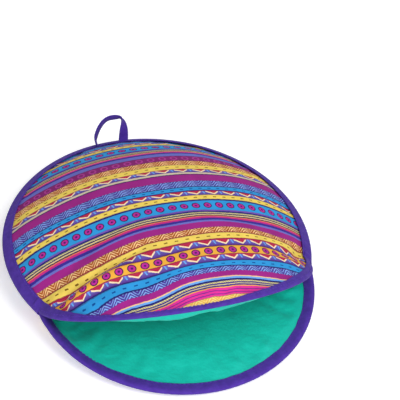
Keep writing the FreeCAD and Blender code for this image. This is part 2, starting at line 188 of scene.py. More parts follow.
def round_panel(face, knots, limit, shaping, tuck=lambda x, y: 0.0):
    """Net over a round panel, shaped in mm off its face, marked with its cloth's mm from the middle.

    tuck gives how much cloth is hidden in folds before one place."""

    def share_out(a, b):
        a, b = 2 * a - 1, 2 * b - 1
        x, y = a * math.sqrt(1 - b * b / 2), b * math.sqrt(1 - a * a / 2)
        return min(1.0, math.hypot(x, y)) * limit, math.atan2(y, x)

    net = shaped_net(knots, knots, lambda a, b: face(*share_out(a, b)))
    for name in ("reach", "turn", "slack"):
        net.verts.layers.float.new(name)
    square = net.verts.layers.float_vector.new("square")
    first, second, reach_mark, turn_mark = (
        net.verts.layers.float[name] for name in ("first", "second", "reach", "turn"))
    for knot in net.verts:
        reach, turn = share_out(knot[first], knot[second])
        length = cloth_length(face, reach, turn)
        knot[reach_mark], knot[turn_mark] = reach, turn
        knot[first], knot[second] = length * math.cos(turn), length * math.sin(turn)
    net.normal_update()
    for knot in net.verts:
        knot[square] = knot.normal
        off = shaping(knot[reach_mark], knot[turn_mark], knot[first], knot[second])
        knot.co += knot.normal * off
        knot[second] += tuck(knot[first], knot[second])
    net.normal_update()
    return net


def layer_of(net, top, bottom):
    """Closed layer of a panel between two depths under its net.

    Each depth is a rule of reach, turn and slack, square to the panel's smooth shape, so that
    creases don't fold a layer over itself."""
    layer = net.copy()
    square = layer.verts.layers.float_vector["square"]
    reach, turn, slack = (layer.verts.layers.float[name] for name in ("reach", "turn", "slack"))
    upper = set(layer.verts)
    bmesh.ops.extrude_face_region(layer, geom=layer.faces[:], use_keep_orig=True)
    for knot in layer.verts:
        rule = top if knot in upper else bottom
        knot.co -= knot[square] * rule(knot[reach], knot[turn], knot[slack])
    bmesh.ops.recalc_face_normals(layer, faces=layer.faces[:])
    lay_map(layer, lambda x, y: (x, y))
    return layer


SEWN_FROM = 0.925           # share of the way out from which the binding holds a panel
FRAMES = 20                 # time the cloth is given to settle


def settled(net, loose, spare, press, most):
    """How far each knot moves when a panel's cloth, sewn fast at its rim, is let settle.

    loose gives how much spare cloth a place has, 0 to 1; spare is the share that 1 adds. press is
    the push from inside, and no knot moves further than most."""
    mesh = bpy.data.meshes.new("settling")
    net.to_mesh(mesh)
    mesh.transform(Matrix.Scale(MM, 4))
    item = bpy.data.objects.new("settling", mesh)
    bpy.context.scene.collection.objects.link(item)
    reach, turn = (net.verts.layers.float[name] for name in ("reach", "turn"))
    sewn, slack = item.vertex_groups.new(name="sewn"), item.vertex_groups.new(name="slack")
    for knot in net.verts:
        sewn.add([knot.index], 1.0 if knot[reach] > SEWN_FROM else 0.0, "REPLACE")
        slack.add([knot.index], loose(knot[reach], knot[turn]), "REPLACE")
    cloth = item.modifiers.new("cloth", "CLOTH")
    cloth.point_cache.frame_start, cloth.point_cache.frame_end = 1, FRAMES
    how = cloth.settings
    how.quality, how.mass, how.air_damping = 6, 0.15, 2.0
    how.tension_stiffness = how.compression_stiffness = 25
    how.shear_stiffness, how.bending_stiffness = 8, 0.4
    how.use_pressure, how.uniform_pressure_force = True, press
    how.vertex_group_mass, how.pin_stiffness = "sewn", 1.0
    how.vertex_group_shrink, how.shrink_min, how.shrink_max = "slack", 0.0, -spare
    how.effector_weights.gravity = 0
    for count in range(1, FRAMES + 1):
        bpy.context.scene.frame_set(count)
    shown = item.evaluated_get(bpy.context.evaluated_depsgraph_get())
    moves = [spot.co / MM - knot.co for spot, knot in zip(shown.data.vertices, net.verts)]
    bpy.data.objects.remove(item)
    bpy.context.scene.frame_set(1)
    return [move * min(1.0, most / max(move.length, 0.001)) for move in moves]


def finished(name, net, material, rounding=0, cloth=0.0):
    """Object from a net drawn in millimetres, with its cloth's thickness and its rounding."""
    bmesh.ops.scale(net, vec=(MM, MM, MM), verts=net.verts[:])
    for patch in net.faces:
        patch.smooth = True
    mesh = bpy.data.meshes.new(name)
    net.to_mesh(mesh)
    net.free()
    mesh.materials.append(material)
    item = bpy.data.objects.new(name, mesh)
    bpy.context.scene.collection.objects.link(item)
    if cloth:
        wall = item.modifiers.new("cloth", "SOLIDIFY")
        wall.thickness, wall.offset = cloth * MM, -1
    if rounding:
        smooth = item.modifiers.new("rounding", "SUBSURF")
        smooth.levels = smooth.render_levels = rounding
    return item


TAPE_CUT = 25               # width of the tape before it is folded over
LAP = 9                     # length over which one tape's end laps onto the next


def bound_edge(turns, top, bottom, steps, ends=0.0, width=lambda turn: TAPE_FACE):
    """Tape folded over an edge: from its underside, round the edge, onto its upper side.

    top and bottom are the faces it lies on, each with its lift. width is how wide it shows on top,
    and ends lifts it where it laps over another tape."""
    under = (TAPE_FACE, 8.6, 6.2, 3.6)

    def place(a, b):
        turn = turns[0] + (turns[1] - turns[0]) * a
        wide = width(turn)
        bend = wide * 0.33
        over = (wide, wide * 0.78, wide * 0.56, bend)
        length = (turns[1] - turns[0]) * RIM
        at_end = max(0.0, 1 - min(a, 1 - a) * length / LAP) * ends
        row = round(b * 10)
        crimp = 0.3 * ripple(turn * RIM, row, 7, 2) + 0.25 * ripple(turn * RIM, row, 17, 5)
        if row in (4, 5, 6):
            high, _ = near_edge(top[0], bend, turn, top[1] + at_end)
            low, _ = near_edge(bottom[0], under[3], turn, bottom[1])
            above, _ = near_edge(top[0], 0, turn, top[1])
            below, _ = near_edge(bottom[0], 0, turn, bottom[1])
            middle = (high + low) / 2
            outward = ((above + below) / 2 - middle) * (1 + at_end / 3)
            angle = math.radians(45 * (row - 3))
            return middle - (high - low) / 2 * math.cos(angle) + outward * math.sin(angle)
        if row < 4:
            return near_edge(bottom[0], under[row] + crimp, turn, bottom[1] + 0.4 * crimp)[0]
        return near_edge(top[0], over[10 - row] + crimp, turn, top[1] + at_end + 0.4 * crimp)[0]

    net = shaped_net(steps, 10, place)
    lay_map(net, lambda a, b: ((turns[1] - turns[0]) * a * RIM, TAPE_CUT * b))
    return net


STITCH = 3.4                # from one stitch to the next


def stitch_rows(rows):
    """Lockstitches along the bindings: each is a short drop of thread, pulled into the tape.

    A row is given by the face it is sewn on, its lift, its distance from the edge and its turns."""
    seam = bmesh.new()
    for face, lift, distance, turns in rows:
        count = int(abs(turns[1] - turns[0]) * RIM / STITCH)
        for number in range(count):
            turn = turns[0] + (turns[1] - turns[0]) * (number + 0.5) / count
            spot, up = near_edge(face, distance, turn, lift)
            along = near_edge(face, distance, turn + 0.01, lift)[0] - spot
            along.normalize()
            up = up if lift > 0 else -up
            beside = up.cross(along).normalized()
            frame_of = Matrix((along * 2.5, beside * 0.75, up * 0.5)).transposed().to_4x4()
            bmesh.ops.create_uvsphere(seam, u_segments=6, v_segments=4, radius=0.5,
                                      matrix=Matrix.Translation(spot) @ frame_of)
    return seam


# ------------------------------------------------------------------ materials


def tint(code):
    """A colour written as sRGB hex, turned linear."""
    parts = [int(code[i:i + 2], 16) / 255 for i in (1, 3, 5)]
    linear = [c / 12.92 if c <= 0.04045 else ((c + 0.055) / 1.055) ** 2.4 for c in parts]
    return (*linear, 1.0)


def add(tree, kind, *given, **more):
    """Adds a node, returns its first output. Plain names set it up, capital names are its sockets.

    stops are the bands of a colour ramp, each from its place up to the next."""
    node = tree.nodes.new("ShaderNode" + kind)
    stops = more.pop("stops", None)
    for name, value in more.items():
        if name[0].islower():
            setattr(node, name, value)
    named = [(name.replace("_", " "), value) for name, value in more.items() if name[0].isupper()]
    for name, value in [*enumerate(given), *named]:
        if isinstance(value, bpy.types.NodeSocket):
            tree.links.new(value, node.inputs[name])
        else:
            node.inputs[name].default_value = value
    if stops:
        ramp = node.color_ramp
        ramp.interpolation = "CONSTANT"
        for place, colour in stops[2:]:
            ramp.elements.new(place)
        for stop, (place, colour) in zip(ramp.elements, stops):
            stop.position, stop.color = place, colour
    return node.outputs[0]


def new_finish(name):
    """An empty material and its tree."""
    material = bpy.data.materials.new(name)
    material.use_nodes = True
    material.node_tree.nodes.clear()
    return material, material.node_tree


def close_finish(tree, shade):
    """Joins the finished shade to the material's surface."""
    out = tree.nodes.new("ShaderNodeOutputMaterial")
    tree.links.new(shade, out.inputs["Surface"])


# Stripes of the woven-style print, from the mouth to the back: where each ends (mm of cloth
# from the middle) and its ground colour. A figured one has its thread or outline colour too, its
# figure, and the figure's repeat and place along the stripe (mm).
PLAIN, RINGS, PEAKS, DASHES, HATCH, ROPE, DIM_RINGS = range(7)
AZURE, YELLOW, CRIMSON, CREAM = "#2E9ADF", "#F6D862", "#BC2A4C", "#FFE6BC"
VIOLET, MAGENTA, DARK_MAGENTA, NAVY = "#7A50B4", "#A02487", "#862070", "#1C2070"
PINK, ORANGE, BLUE_VIOLET, DEEP = "#E4349A", "#F0B040", "#6C70C8", "#3A1450"
STRIPES = (
    (-143.0, PINK), (-137.0, "#F0A850", "#FFE890", HATCH, 12.2, 4),
    (-131.1, "#F4BE5C", "#FFE890", HATCH, 12.2, 4), (-129.2, PINK), (-128.4, "#7A2A90"),
    (-126.2, PINK), (-125.4, "#7A2A90"), (-123.0, PINK), (-122.1, ORANGE), (-120.6, "#3B2A88"),
    (-119.6, "#D8C890"), (-118.3, "#3B2A88"), (-116.3, "#EAE0A4", "#A09468", ROPE, 2.0, 0),
    (-114.6, NAVY), (-112.5, "#6CA8F0"), (-111.3, "#F6C890"), (-105.1, MAGENTA),
    (-98.6, "#4E3E9C", "#86AEF0", HATCH, 12.2, 2.3), (-97.8, NAVY),
    (-91.0, AZURE, "#0A4E98", DASHES, 9.73, -13), (-90.2, NAVY),
    (-82.7, CRIMSON, VIOLET, PEAKS, 17.2, -13), (-72.9, ORANGE, "#4A1238", RINGS, 11.34, -4.8),
    (-72.3, "#5A1040"), (-64.2, CRIMSON, VIOLET, PEAKS, 16.9, 3), (-63.4, "#B02040"),
    (-55.9, YELLOW, "#7A5814", DASHES, 9.62, -4.8), (-55.1, "#902030"),
    (-47.9, "#B4602C", "#FFD498", HATCH, 12.63, 0), (-40.0, MAGENTA), (-38.0, BLUE_VIOLET),
    (-35.0, "#3A2A90"), (-32.6, "#CC2C84"), (-31.7, "#E88040"), (-30.2, "#30205A"),
    (-28.9, "#E0CC90"), (-27.7, "#38285A"), (-25.8, "#EAE0A4", "#A09468", ROPE, 2.0, 0),
    (-24.0, NAVY), (-22.2, VIOLET), (-8.7, AZURE, NAVY, RINGS, 11.34, -5.7), (-7.0, NAVY),
    (-0.6, YELLOW, "#7A5814", DASHES, 9.44, 12.7), (6.1, CRIMSON, VIOLET, PEAKS, 17.27, 17.6),
    (6.9, NAVY), (12.5, AZURE, "#0A4E98", DASHES, 9.0, 22.5), (13.2, NAVY),
    (23.0, "#4E3E9C", "#86AEF0", HATCH, 13.1, 22.3), (33.7, MAGENTA), (35.0, "#30205A"),
    (38.2, "#D8C8B0"), (44.5, CRIMSON, VIOLET, PEAKS, 18.1, 34.7),
    (52.2, YELLOW, "#7A5814", DASHES, 9.9, 31.3), (61.2, "#B4602C", "#FFD498", HATCH, 13.9, 34.8),
    (71.8, DARK_MAGENTA, "#B03A94", DIM_RINGS, 11.34, 0), (77.9, BLUE_VIOLET), (80.9, "#3A2A90"),
    (83.3, PINK), (84.6, ORANGE), (86.0, "#30205A"), (87.2, "#E0CC90"), (88.2, "#38285A"),
    (90.0, "#EAE0A4", "#A09468", ROPE, 2.0, 0), (93.6, "#4A38A0"),
    (107.2, AZURE, NAVY, RINGS, 11.34, -6.7), (108.9, NAVY),
    (115.3, YELLOW, "#7A5814", DASHES, 9.4, 6), (122.0, CRIMSON, VIOLET, PEAKS, 17.3, 8),
    (122.8, NAVY), (129.1, AZURE, "#0A4E98", DASHES, 9.0, 9),
    (139.0, "#4E3E9C", "#86AEF0", HATCH, 13.1, 4), (150.0, "#9E2982"), (175.0, "#E0A040"),
)
WIDEST = 175.0              # no cloth lies further out than this
TALLEST, LONGEST = 40.0, 20.0     # no stripe is taller, and no figure repeats less often
# a colour ramp holds 32 stripes at most, so they are shared out
STRIPE_GROUPS = ((-WIDEST, -98.6), (-98.6, -40.0), (-40.0, 44.5), (44.5, WIDEST))


def printed_cotton():
    """Plain-woven cotton with a pigment print: matt, soft-edged colours, threads just felt."""
    material, tree = new_finish("printed_cotton")
    cloth = add(tree, "UVMap", uv_map="cloth")
    u = add(tree, "SeparateXYZ", cloth)
    v = u.node.outputs[1]
    uneven = add(tree, "TexNoise", Vector=cloth, Scale=0.35, Detail=2.0)
    # The stripes were sewn in a little askew, so they drift on the cloth: near the mouth outward on
    # the left and inward further on, and less from halfway there.
    near_mouth = add(tree, "MapRange", v, -90.0, -105.0, 0.0, 1.0)
    drift = add(tree, "MapRange", u, -50.0, -8.0, 3.2, -3.2, interpolation_type="SMOOTHSTEP")
    for start, end, far in ((-62.0, -90.0, 4.0), (32.0, 75.0, 4.0)):
        more = add(tree, "MapRange", u, start, end, 0.0, far)
        drift = add(tree, "Math", drift, more, operation="ADD")
    eased = add(tree, "Math", add(tree, "MapRange", u, 5.0, -28.0, 0.0, 2.4),
                add(tree, "MapRange", u, -42.0, -72.0, 0.0, -2.4), operation="ADD")
    halfway = add(tree, "MapRange", v, -58.0, -74.0, 0.0, 1.0)
    drifted = add(tree, "Math", drift, near_mouth, v, operation="MULTIPLY_ADD")
    v = add(tree, "Math", eased, halfway, drifted, operation="MULTIPLY_ADD")
    uneven = add(tree, "Math", uneven, 0.5, operation="SUBTRACT")
    v = add(tree, "Math", uneven, 0.9, v, operation="MULTIPLY_ADD")

    # four ramps, read by v, hold each stripe's colours, measures and manner, scaled to 0 to 1
    rows, front = [], -WIDEST
    for end, ground, *figured in STRIPES:
        thread, figure, repeat, place = figured or (DEEP, PLAIN, 10, 0)
        middle = 0.45 if figure == PEAKS else 0.5
        shift = (middle - place / repeat) % 1
        measures = (front / WIDEST / 2 + 0.5, (end - front) / TALLEST, repeat / LONGEST, 1)
        manner = (figure / DIM_RINGS, shift, 0, 1)
        rows.append((front, end, (tint(ground), tint(thread), measures, manner)))
        front = end
    picked = []
    for kind in range(4):
        found = None
        for low, high in STRIPE_GROUPS:
            share = add(tree, "MapRange", v, low, high, 0.0, 1.0)
            stops = [(max(0.0, (start - low) / (high - low)), facts[kind])
                     for start, end, facts in rows if end > low + 0.01 and start < high - 0.01]
            shown = add(tree, "ValToRGB", share, stops=stops)
            if found is not None:
                past = add(tree, "Math", v, low, operation="GREATER_THAN")
                shown = add(tree, "MixRGB", past, found, shown)
            found = shown
        picked.append(found)
    ground, thread, measures, manner = picked
    measures = add(tree, "SeparateColor", measures)
    stripe_front = add(tree, "Math", measures, 0.5, operation="SUBTRACT")
    stripe_front = add(tree, "Math", stripe_front, 2 * WIDEST, operation="MULTIPLY")
    height = add(tree, "Math", measures.node.outputs[1], TALLEST, operation="MULTIPLY")
    repeat = add(tree, "Math", measures.node.outputs[2], LONGEST, operation="MULTIPLY")
    manner = add(tree, "SeparateColor", manner)
    figure = add(tree, "Math", manner, float(DIM_RINGS), operation="MULTIPLY")
    # places in a figure: up its stripe (0 to 1), along its repeat (0 to 1), and mm off its middle
    up = add(tree, "Math", v, stripe_front, operation="SUBTRACT")
    up = add(tree, "Math", up, height, operation="DIVIDE")
    turns = add(tree, "Math", u, repeat, operation="DIVIDE")
    turns = add(tree, "Math", turns, manner.node.outputs[1], operation="ADD")
    along = add(tree, "Math", turns, operation="FRACT")
    aside = add(tree, "Math", along, 0.5, operation="SUBTRACT")
    aside = add(tree, "Math", aside, repeat, operation="MULTIPLY")
    lifted = add(tree, "Math", up, 0.5, operation="SUBTRACT")
    lifted = add(tree, "Math", lifted, height, operation="MULTIPLY")
    off_middle = add(tree, "Math", aside, operation="ABSOLUTE")

    # dashes: 3 mm long, 1 mm thick
    short = add(tree, "Math", off_middle, 1.6, operation="LESS_THAN")
    thin = add(tree, "Math", lifted, operation="ABSOLUTE")
    thin = add(tree, "Math", thin, 0.6, operation="LESS_THAN")
    dash = add(tree, "Math", short, thin, operation="MULTIPLY")
    # hatch: nested strokes that climb to a point, bold round it and thin between two
    climb = add(tree, "Math", off_middle, 1.1, lifted, operation="MULTIPLY_ADD")
    climb = add(tree, "Math", climb, 2.3, operation="SUBTRACT")
    climb = add(tree, "Math", climb, 3.3, operation="DIVIDE")
    stroke = add(tree, "Math", climb, operation="FRACT")
    bold = add(tree, "MapRange", off_middle, 2.8, 3.8, 0.48, 0.26)
    hatch = add(tree, "Math", stroke, bold, operation="LESS_THAN")
    # rope: slanting turns of a two-ply cord
    slant = add(tree, "Math", lifted, 0.45, along, operation="MULTIPLY_ADD")
    ply = add(tree, "Math", add(tree, "Math", slant, operation="FRACT"), 0.4, operation="LESS_THAN")
    marked = None
    for number, mask in ((DASHES, dash), (HATCH, hatch), (ROPE, ply)):
        here = add(tree, "Math", figure, float(number), 0.5, operation="COMPARE")
        mask = add(tree, "Math", mask, here, operation="MULTIPLY")
        marked = mask if marked is None else add(tree, "Math", marked, mask, operation="ADD")
    colour = add(tree, "MixRGB", marked, ground, thread)

    # rings: a dark outline, a bright band and a dark middle
    away = add(tree, "VectorMath", add(tree, "CombineXYZ", aside, lifted), operation="LENGTH")
    away = away.node.outputs[1]
    bands = add(tree, "ValToRGB", add(tree, "Math", away, 5.0, operation="DIVIDE"), stops=[
        (0.0, tint("#5A1560")), (0.22, tint("#B12BA0")), (0.42, tint("#C8288C")),
        (0.59, tint("#2C1050")), (0.78, (0, 0, 0, 0))])
    here = add(tree, "Math", figure, float(RINGS), 0.5, operation="COMPARE")
    shown = add(tree, "Math", bands.node.outputs[1], here, operation="MULTIPLY")
    colour = add(tree, "MixRGB", shown, colour, bands)
    # dim rings: one plain ring, tone on tone
    here = add(tree, "Math", figure, float(DIM_RINGS), 0.5, operation="COMPARE")
    thick = add(tree, "Math", away, 2.9, 0.8, operation="COMPARE")
    shown = add(tree, "Math", thick, here, operation="MULTIPLY")
    colour = add(tree, "MixRGB", shown, colour, thread)

    # peaks: V-shaped valleys between violet hills, outlined in cream, a blue bar on each hill
    left = add(tree, "Math", 0.45, along, operation="SUBTRACT")
    left = add(tree, "Math", left, 1.15, operation="MULTIPLY")
    right = add(tree, "Math", along, 0.45, operation="SUBTRACT")
    right = add(tree, "Math", right, 2.1, operation="MULTIPLY")
    slope = add(tree, "Math", left, right, operation="MAXIMUM")
    slope = add(tree, "Math", slope, 0.25, operation="ADD")
    slope = add(tree, "Math", slope, 0.88, operation="MINIMUM")
    below = add(tree, "Math", up, slope, operation="LESS_THAN")
    hill = add(tree, "MixRGB", up, tint("#5A2E90"), tint("#7078D0"))
    bar = add(tree, "Math", up, -0.1, 0.92, operation="MULTIPLY_ADD")
    bar = add(tree, "Math", along, bar, 0.04, operation="COMPARE")
    above = add(tree, "Math", up, 0.3, operation="GREATER_THAN")
    bar = add(tree, "Math", bar, above, operation="MULTIPLY")
    hill = add(tree, "MixRGB", bar, hill, tint("#6CA8F0"))
    peaks = add(tree, "MixRGB", below, ground, hill)
    off = add(tree, "Math", up, slope, operation="SUBTRACT")
    off = add(tree, "Math", off, height, operation="MULTIPLY")
    off = add(tree, "Math", off, operation="ABSOLUTE")
    line = add(tree, "Math", off, 0.9, operation="LESS_THAN")
    low = add(tree, "Math", slope, 0.8, operation="LESS_THAN")
    line = add(tree, "Math", line, low, operation="MULTIPLY")
    peaks = add(tree, "MixRGB", line, peaks, tint(CREAM))
    here = add(tree, "Math", figure, float(PEAKS), 0.5, operation="COMPARE")
    colour = add(tree, "MixRGB", here, colour, peaks)

    # a thin dark key line closes each figured stripe
    reach = add(tree, "Math", 1.0, up, operation="SUBTRACT")
    reach = add(tree, "Math", reach, up, operation="MINIMUM")
    reach = add(tree, "Math", reach, height, operation="MULTIPLY")
    rule = add(tree, "Math", reach, 0.4, operation="LESS_THAN")
    figured = add(tree, "Math", figure, 0.5, operation="GREATER_THAN")
    rule = add(tree, "Math", rule, figured, operation="MULTIPLY")
    rule = add(tree, "Math", rule, 0.6, operation="MULTIPLY")
    colour = add(tree, "MixRGB", rule, colour, tint(DEEP))

    # threads: fine cotton, drawn 0.9 mm apart so that they still show
    warp = add(tree, "Math", add(tree, "Math", u, 7.0, operation="MULTIPLY"), operation="SINE")
    weft = add(tree, "Math", add(tree, "Math", v, 7.0, operation="MULTIPLY"), operation="SINE")
    weave = add(tree, "Math", warp, weft, operation="MULTIPLY")
    worn = add(tree, "TexNoise", Vector=cloth, Scale=0.06, Detail=4.0)
    level = add(tree, "MapRange", worn, 0.35, 0.65, 0.88, 1.0)
    thready = add(tree, "MapRange", weave, -1.0, 1.0, 0.97, 1.02)
    level = add(tree, "Math", level, thready, operation="MULTIPLY")
    colour = add(tree, "HueSaturation", 0.5, 1.0, level, 1.0, colour)
    relief = add(tree, "Bump", Strength=0.35, Distance=0.0001, Height=weave)
    shade = add(tree, "BsdfPrincipled", Base_Color=colour, Roughness=0.85, Normal=relief,
                Sheen_Weight=0.02, Sheen_Roughness=0.5, Specular_IOR_Level=0.15)
    close_finish(tree, shade)
    return material


def lining_cloth():
    """Plain dyed polyester-cotton lining: even teal, slightly silky, fine crumples."""
    material, tree = new_finish("teal_lining")
    spot = add(tree, "UVMap", uv_map="cloth")
    worn = add(tree, "TexNoise", Vector=spot, Scale=0.05, Detail=5.0, Roughness=0.6)
    colour = add(tree, "ValToRGB", worn, stops=[(0.0, tint("#04B4A2")), (0.5, tint("#06C2AE"))])
    colour.node.color_ramp.interpolation = "LINEAR"
    crumple = add(tree, "TexNoise", Vector=spot, Scale=0.11, Detail=3.0)
    soft = add(tree, "Bump", Strength=0.5, Distance=0.002, Height=crumple)
    threads = add(tree, "TexNoise", Vector=spot, Scale=1.4, Detail=1.0)
    relief = add(tree, "Bump", Strength=0.2, Distance=0.0002, Height=threads, Normal=soft)
    shade = add(tree, "BsdfPrincipled", Base_Color=colour, Roughness=0.62, Normal=relief,
                Sheen_Weight=0.1, Sheen_Roughness=0.4, Specular_IOR_Level=0.35)
    close_finish(tree, shade)
    return material


def tape_cloth(name, pale, dark):
    """Cotton bias tape: matt, its threads slanting across it, rubbed paler in places."""
    material, tree = new_finish(name)
    spot = add(tree, "UVMap", uv_map="cloth")
    apart = add(tree, "SeparateXYZ", spot)
    slant = add(tree, "Math", apart, apart.node.outputs[1], operation="ADD")
    slant = add(tree, "Math", slant, 5.2, operation="MULTIPLY")
    threads = add(tree, "Math", slant, operation="SINE")
    worn = add(tree, "TexNoise", Vector=spot, Scale=0.16, Detail=5.0, Roughness=0.65)
    share = add(tree, "MapRange", worn, 0.35, 0.65, 0.0, 1.0)
    colour = add(tree, "MixRGB", share, tint(dark), tint(pale))
    relief = add(tree, "Bump", Strength=0.4, Distance=0.00015, Height=threads)
    puckered = add(tree, "Bump", Strength=0.4, Distance=0.0012, Height=worn, Normal=relief)
    shade = add(tree, "BsdfPrincipled", Base_Color=colour, Roughness=0.8, Normal=puckered,
                Sheen_Weight=0.05, Sheen_Roughness=0.5, Specular_IOR_Level=0.15)
    close_finish(tree, shade)
    return material


def wadding():
    """Bonded polyester wadding: white, matt, a loose felt of curled fibres."""
    material, tree = new_finish("polyester_wadding")
    spot = add(tree, "UVMap", uv_map="cloth")
    fibres = add(tree, "TexNoise", Vector=spot, Scale=0.8, Detail=6.0, Distortion=1.5)
    colour = add(tree, "MixRGB", fibres, tint("#E4E2DC"), tint("#FAF9F6"))
    relief = add(tree, "Bump", Strength=0.6, Distance=0.0006, Height=fibres)
    shade = add(tree, "BsdfPrincipled", Base_Color=colour, Roughness=0.95, Normal=relief)
    close_finish(tree, shade)
    return material


cover_finish = printed_cotton()
lining_finish = lining_cloth()
padding_finish = wadding()
# the bindings, the hanging loop a little darker, and the sewing thread a little paler
binding_finish = tape_cloth("violet_bias_tape", "#4E319C", "#412788")
loop_finish = tape_cloth("violet_loop_tape", "#4B2E9A", "#3E2486")
thread_finish = tape_cloth("violet_sewing_thread", "#5A3CB0", "#4B2E9A")

# ------------------------------------------------------------------ upper panel

# creases, each a line of places on the cloth (mm) with how deep it is there, 0 to 1
LEFT_VALLEY = ((-136, -76, 0.6), (-118, -72.5, 0.9), (-106, -70, 1.0), (-91, -67.5, 1.0),
               (-74, -66.5, 1.0), (-60, -66, 0.9), (-46, -63, 0.5), (-30, -60, 0.0))
LEFT_FOLD = ((-118, -83, 0.5), (-97, -78, 1.0), (-79, -76, 1.0), (-59, -74, 0.9), (-42, -71, 0.5),
             (-24, -66, 0.0))
RIGHT_VALLEY = ((140, -56, 1.0), (118, -66, 1.0), (96, -74, 0.6), (70, -78, 0.0))
RIGHT_FOLD = ((138, -44, 0.7), (112, -54, 0.7), (84, -60, 0.0))
LIP_PUCKER = ((10, -131, 0.2), (20, -122, 1.0), (27, -118, 0.1))
TUCKED = 6.5                # cloth hidden in the deepest part of the left valley
SAG = 23.0                  # how far the upper lining hangs below the wadding behind the lip


def upper_shaping(reach, turn, x, y):
    """Creases and puckers of the printed face, in mm off its smooth shape."""
    from_edge = (1 - reach) * PANEL_HALF
    at_binding = math.exp(-((from_edge - 12) / 9) ** 2)
    pull = 0.45 * at_binding * ripple(turn * RIM, from_edge * 0.4, 8, 1)
    free = held((from_edge - 8) / 10)
    return (pull + 0.7 * ripple(x, y, 55, 3) * min(1.0, from_edge / 20)
            - 0.7 * math.exp(-((from_edge - 11) / 5) ** 2)
            - 4.5 * free * valley(x, y, LEFT_VALLEY, 5) + 3.0 * free * valley(x, y, LEFT_FOLD, 7)
            - 3.4 * free * valley(x, y, RIGHT_VALLEY, 6) + 2.0 * free * valley(x, y, RIGHT_FOLD, 8)
            - 2.0 * valley(x, y, LIP_PUCKER, 4))


def upper_tuck(x, y):
    """Cloth hidden in the fold at the left mouth corner, let out again towards the back."""
    hidden = 0.0
    for (ax, ay, a_deep), (bx, by, b_deep) in zip(LEFT_VALLEY, LEFT_VALLEY[1:]):
        if ax <= x < bx:
            share = (x - ax) / (bx - ax)
            behind = y - ay - share * (by - ay)
            hidden = (a_deep + share * (b_deep - a_deep)) * held(behind / 3 + 0.5)
            hidden *= math.exp(-max(0.0, behind) / 16)
    return TUCKED * hidden


def loft(reach, turn):
    """Padding of a panel, thinning towards its edge."""
    return 1.6 + 2.9 * (1 - reach ** 4)


def squeezed(depth, reach):
    """A depth in a panel, less where the seam clamps the two panels together."""
    return depth * max(0.12, min(1.0, (1.0 - reach) * PANEL_HALF / 6))


def lining_sag(reach, turn):
    """The upper lining hangs loose behind the lip's binding."""
    from_edge = (1 - reach) * PANEL_HALF
    front = held((toward_lip(turn) - 0.04) / 0.36)
    rise = math.sin(math.pi / 2 * held((from_edge - 6) / 10))
    fall = held((64 - from_edge) / 36)
    uneven = 1 + 0.1 * ripple(turn * RIM, 0, 38, 4)
    return SAG * front * front * (3 - 2 * front) * rise * fall * fall * (3 - 2 * fall) * uneven


def upper_spare(reach, turn):
    """Spare cloth of the upper cover: most where it gathers beside the mouth corners."""
    from_corner = min(abs(turn + CORNER_TURN + 0.25), abs(turn - CORNER_TURN - 0.25 + math.pi),
                      abs(turn - CORNER_TURN - 0.25 - math.pi))
    return (0.25 + 0.75 * math.exp(-(from_corner / 0.45) ** 2)) * held((reach - 0.35) / 0.4)


KNOTS = 120     # across each panel's net
CUT_TO = 0.988              # the panels end this share of the way out, inside their bindings
FURTHEST = 4.0              # a settling panel moves no further than this
upper_net = round_panel(crown, KNOTS, CUT_TO, upper_shaping, upper_tuck)
for knot, move in zip(upper_net.verts, settled(upper_net, upper_spare, 0.03, 1.2, FURTHEST)):
    knot.co += move
upper_cover = finished("upper_printed_cover", layer_of(
    upper_net, lambda r, t, s: 0.0, lambda r, t, s: squeezed(0.8, r)),
    cover_finish, 1)
upper_padding = finished("upper_padding", layer_of(
    upper_net, lambda r, t, s: squeezed(0.9, r), lambda r, t, s: squeezed(0.9 + loft(r, t), r)),
    padding_finish)
upper_lining = finished("upper_teal_lining", layer_of(
    upper_net, lambda r, t, s: squeezed(1.0 + loft(r, t) + lining_sag(r, t), r),
    lambda r, t, s: squeezed(1.7 + loft(r, t) + lining_sag(r, t), r)),
    lining_finish, 1)

# ------------------------------------------------------------------ lower panel


DEEPEST = -1.8              # the lower lining's puckers press no deeper into the wadding


def lower_shaping(reach, turn, x, y):
    """Unevenness of the lower cover, which never reaches through the table."""
    return 0.3 * (1 + ripple(x, y, 40, 6)) * held(((1 - reach) * PANEL_HALF - 10) / 20)


def lining_spare(reach, turn):
    """Spare cloth of the lower lining: gathered along the binding, most beside the corners."""
    from_edge = (1 - reach) * LOWER_HALF
    at_binding = held((from_edge - 12) / 8) * math.exp(-max(0.0, from_edge - 20) / 22)
    return at_binding * (0.55 + 0.45 * math.exp(-((toward_lip(turn) - 0.25) / 0.25) ** 2))


def lining_puckers(reach, turn):
    """Gathers of the lower lining where the binding holds it."""
    gather = ripple(turn * RIM * 1.15, (1 - reach) * 60, 12, 8)
    crumple = ripple((1 - reach) * LOWER_HALF, turn * 60, 26, 9)
    return 2.4 * lining_spare(reach, turn) * gather + 0.6 * min(1.0, (1 - reach) * 8) * crumple


